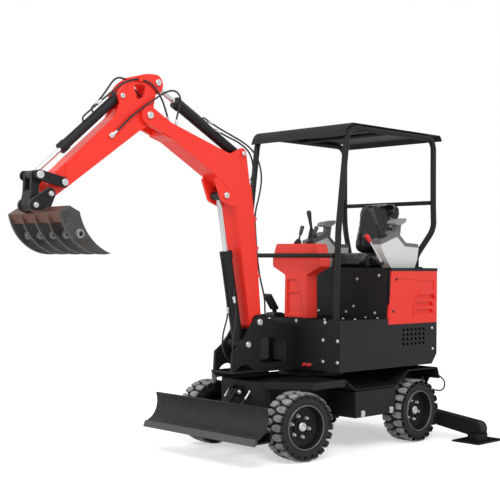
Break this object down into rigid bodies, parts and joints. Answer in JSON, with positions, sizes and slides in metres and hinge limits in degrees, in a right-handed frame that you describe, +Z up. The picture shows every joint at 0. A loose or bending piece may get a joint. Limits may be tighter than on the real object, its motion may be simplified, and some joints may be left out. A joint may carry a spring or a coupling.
{
  "type": "wheeled excavator",
  "caption": "Mini wheeled excavator with a four-post canopy, root rake, front blade and rear outriggers.",
  "frame": {"origin": "ground level under the middle of the overall box", "axes": "+X forward towards the rake, +Y to the machine's left, +Z up"},
  "size_m": [3.542, 1.83, 2.476],
  "materials": {
    "black_paint": "satin",
    "red_paint": "gloss",
    "charcoal_paint": "satin",
    "rake_steel": "satin",
    "chrome_rod": "polished",
    "cast_iron": "matte",
    "engine_alloy": "matte",
    "tyre_rubber": "matte",
    "red_plastic": "satin",
    "grey_plastic": "matte",
    "black_plastic": "satin",
    "seat_vinyl": "satin"
  },
  "bodies": {
    "chassis": {"chassis_frame": "black_paint", "fender_left": "black_paint", "fender_right": "black_paint", "toolbox_left": "black_paint", "toolbox_right": "black_paint", "front_axle": "black_paint", "rear_axle": "black_paint", "outrigger_bracket": "black_paint"},
    "house": {"house_frame": "black_paint", "boom_bracket": "black_paint", "skirt": "black_paint", "counterweight": "cast_iron", "floor_plate": "black_paint", "seat_box": "black_paint", "side_cover_left": "red_paint", "side_cover_right": "red_paint", "rear_cover": "red_paint", "engine_block": "engine_alloy", "console": "red_plastic", "seat_cushion": "seat_vinyl", "seat_back": "seat_vinyl", "armrests": "grey_plastic", "control_levers": "black_plastic", "canopy_hoop_left": "black_paint", "canopy_hoop_right": "black_paint", "canopy_bars": "black_paint", "canopy_roof": "black_paint"},
    "boom": {"boom": "red_paint"},
    "boom_barrel": {"boom_barrel": "black_paint"},
    "boom_rod": {"boom_rod": "chrome_rod"},
    "arm": {"arm": "red_paint"},
    "arm_barrel": {"arm_barrel": "black_paint"},
    "arm_rod": {"arm_rod": "chrome_rod"},
    "rake": {"rake": "rake_steel"},
    "rake_barrel": {"rake_barrel": "black_paint"},
    "rake_rod": {"rake_rod": "chrome_rod"},
    "side_links": {"side_links": "black_paint"},
    "h_link": {"h_link": "black_paint"},
    "blade": {"blade": "charcoal_paint", "cutting_edge": "charcoal_paint"},
    "blade_barrel": {"blade_barrel": "black_paint"},
    "blade_rod": {"blade_rod": "chrome_rod"},
    "knuckle_left": {"knuckle_left": "black_paint"},
    "knuckle_right": {"knuckle_right": "black_paint"},
    "tie_rod": {"tie_rod": "black_paint"},
    "leg_left": {"leg_left": "black_paint"},
    "leg_barrel_left": {"leg_barrel_left": "black_paint"},
    "leg_rod_left": {"leg_rod_left": "chrome_rod"},
    "wheel_front_left": {"tyre_front_left": "tyre_rubber", "rim_front_left": "black_paint"},
    "wheel_rear_left": {"tyre_rear_left": "tyre_rubber", "rim_rear_left": "black_paint"},
    "leg_right": {"leg_right": "black_paint"},
    "leg_barrel_right": {"leg_barrel_right": "black_paint"},
    "leg_rod_right": {"leg_rod_right": "chrome_rod"},
    "wheel_front_right": {"tyre_front_right": "tyre_rubber", "rim_front_right": "black_paint"},
    "wheel_rear_right": {"tyre_rear_right": "tyre_rubber", "rim_rear_right": "black_paint"}
  },
  "joints": [
    {"name": "slew", "type": "hinge", "parent": "chassis", "child": "house", "pos_m": [-0.661, 0, 0.53], "axis": [0, 0, 1], "continuous": true},
    {"name": "boom_lift", "type": "hinge", "parent": "house", "child": "boom", "pos_m": [-0.031, 0, 0.895], "axis": [0, -1, 0], "range_deg": [-75, 10]},
    {"name": "arm_crowd", "type": "hinge", "parent": "boom", "child": "arm", "pos_m": [0.921, 0, 2.211], "axis": [0, 1, 0], "range_deg": [-40, 60]},
    {"name": "rake_curl", "type": "hinge", "parent": "arm", "child": "rake", "pos_m": [1.632, 0, 1.687], "axis": [0, 1, 0], "range_deg": [-95, 30]},
    {"name": "boom_ram_barrel_turn", "type": "hinge", "parent": "house", "child": "boom_barrel", "pos_m": [0.077, 0, 0.747], "axis": [0, -1, 0], "range_deg": [-72.76, 10.57]},
    {"name": "boom_ram_rod_slide", "type": "slide", "parent": "boom_barrel", "child": "boom_rod", "axis": [0.1887, 0, 0.982], "range_m": [-0.22045, 0.03113]},
    {"name": "arm_ram_barrel_turn", "type": "hinge", "parent": "boom", "child": "arm_barrel", "pos_m": [0.111, 0, 2.037], "axis": [0, -1, 0], "range_deg": [-5.22, 3.82]},
    {"name": "arm_ram_rod_slide", "type": "slide", "parent": "arm_barrel", "child": "arm_rod", "axis": [0.8815, 0, 0.4722], "range_m": [-0.14397, 0.21495]},
    {"name": "rake_ram_barrel_turn", "type": "hinge", "parent": "arm", "child": "rake_barrel", "pos_m": [1.116, 0, 2.314], "axis": [0, -1, 0], "range_deg": [-1.9, 3.85]},
    {"name": "rake_ram_rod_slide", "type": "slide", "parent": "rake_barrel", "child": "rake_rod", "axis": [0.7544, 0, -0.6565], "range_m": [-0.17361, 0.05619]},
    {"name": "side_link_turn", "type": "hinge", "parent": "arm", "child": "side_links", "pos_m": [1.551, 0, 1.756], "axis": [0, 1, 0], "range_deg": [-64.41, 21.02]},
    {"name": "h_link_turn", "type": "hinge", "parent": "rake", "child": "h_link", "pos_m": [1.731, 0, 1.618], "axis": [0, 1, 0], "range_deg": [-18.27, 55.7]},
    {"name": "blade_lift", "type": "hinge", "parent": "chassis", "child": "blade", "pos_m": [0.104, 0, 0.215], "axis": [0, -1, 0], "range_deg": [-30, 12]},
    {"name": "blade_ram_barrel_turn", "type": "hinge", "parent": "chassis", "child": "blade_barrel", "pos_m": [0.101, 0, 0.425], "axis": [0, -1, 0], "range_deg": [-13.3, 5.92]},
    {"name": "blade_ram_rod_slide", "type": "slide", "parent": "blade_barrel", "child": "blade_rod", "axis": [0.7555, 0, -0.6551], "range_m": [-0.03279, 0.07897]},
    {"name": "leg_left_swing", "type": "hinge", "parent": "chassis", "child": "leg_left", "pos_m": [-1.611, 0.2, 0.17], "axis": [1, 0, 0], "range_deg": [-4, 32]},
    {"name": "leg_ram_left_barrel_turn", "type": "hinge", "parent": "chassis", "child": "leg_barrel_left", "pos_m": [-1.611, 0.255, 0.48], "axis": [1, 0, 0], "range_deg": [-5.54, 1.57]},
    {"name": "leg_ram_left_rod_slide", "type": "slide", "parent": "leg_barrel_left", "child": "leg_rod_left", "axis": [0, 0.3807, -0.9247], "range_m": [-0.09305, 0.01338]},
    {"name": "leg_right_swing", "type": "hinge", "parent": "chassis", "child": "leg_right", "pos_m": [-1.611, -0.2, 0.17], "axis": [-1, 0, 0], "range_deg": [-4, 32]},
    {"name": "leg_ram_right_barrel_turn", "type": "hinge", "parent": "chassis", "child": "leg_barrel_right", "pos_m": [-1.611, -0.255, 0.48], "axis": [-1, 0, 0], "range_deg": [-5.54, 1.57]},
    {"name": "leg_ram_right_rod_slide", "type": "slide", "parent": "leg_barrel_right", "child": "leg_rod_right", "axis": [0, -0.3807, -0.9247], "range_m": [-0.09305, 0.01338]},
    {"name": "steer_left", "type": "hinge", "parent": "chassis", "child": "knuckle_left", "pos_m": [-0.072, 0.335, 0.2275], "axis": [0, 0, 1], "range_deg": [-20.3, 39.7]},
    {"name": "steer_right", "type": "hinge", "parent": "chassis", "child": "knuckle_right", "pos_m": [-0.072, -0.335, 0.2275], "axis": [0, 0, 1], "range_deg": [-20.3, 39.7]},
    {"name": "tie_rod_slide", "type": "slide", "parent": "chassis", "child": "tie_rod", "axis": [0, 1, 0], "range_m": [-0.06471, 0.03406]},
    {"name": "wheel_front_left_spin", "type": "hinge", "parent": "knuckle_left", "child": "wheel_front_left", "pos_m": [-0.05212, 0.45131, 0.2275], "axis": [0.1685, 0.9857, 0], "continuous": true},
    {"name": "wheel_rear_left_spin", "type": "hinge", "parent": "chassis", "child": "wheel_rear_left", "pos_m": [-1.25, 0.453, 0.2275], "axis": [0, 1, 0], "continuous": true},
    {"name": "wheel_front_right_spin", "type": "hinge", "parent": "knuckle_right", "child": "wheel_front_right", "pos_m": [-0.09188, -0.45131, 0.2275], "axis": [0.1685, 0.9857, 0], "continuous": true},
    {"name": "wheel_rear_right_spin", "type": "hinge", "parent": "chassis", "child": "wheel_rear_right", "pos_m": [-1.25, -0.453, 0.2275], "axis": [0, 1, 0], "continuous": true}
  ],
  "couplings": [
    {"joint": "boom_ram_barrel_turn", "follows": "boom_lift", "ratio": 0.9568},
    {"joint": "boom_ram_rod_slide", "follows": "boom_lift", "m_per_rad": 0.16688},
    {"joint": "arm_ram_barrel_turn", "follows": "arm_crowd", "ratio": -0.0704},
    {"joint": "arm_ram_rod_slide", "follows": "arm_crowd", "m_per_rad": 0.20335},
    {"joint": "rake_ram_barrel_turn", "follows": "rake_curl", "ratio": -0.03},
    {"joint": "rake_ram_rod_slide", "follows": "rake_curl", "m_per_rad": 0.1035},
    {"joint": "side_link_turn", "follows": "rake_curl", "ratio": 0.6675},
    {"joint": "h_link_turn", "follows": "rake_curl", "ratio": -0.5758},
    {"joint": "blade_ram_barrel_turn", "follows": "blade_lift", "ratio": 0.41005},
    {"joint": "blade_ram_rod_slide", "follows": "blade_lift", "m_per_rad": -0.147},
    {"joint": "leg_ram_left_barrel_turn", "follows": "leg_left_swing", "ratio": -0.14191},
    {"joint": "leg_ram_left_rod_slide", "follows": "leg_left_swing", "m_per_rad": -0.16303},
    {"joint": "leg_ram_right_barrel_turn", "follows": "leg_right_swing", "ratio": -0.14191},
    {"joint": "leg_ram_right_rod_slide", "follows": "leg_right_swing", "m_per_rad": -0.16303},
    {"joint": "steer_right", "follows": "steer_left", "ratio": 1},
    {"joint": "tie_rod_slide", "follows": "steer_left", "m_per_rad": -0.0905}
  ]
}
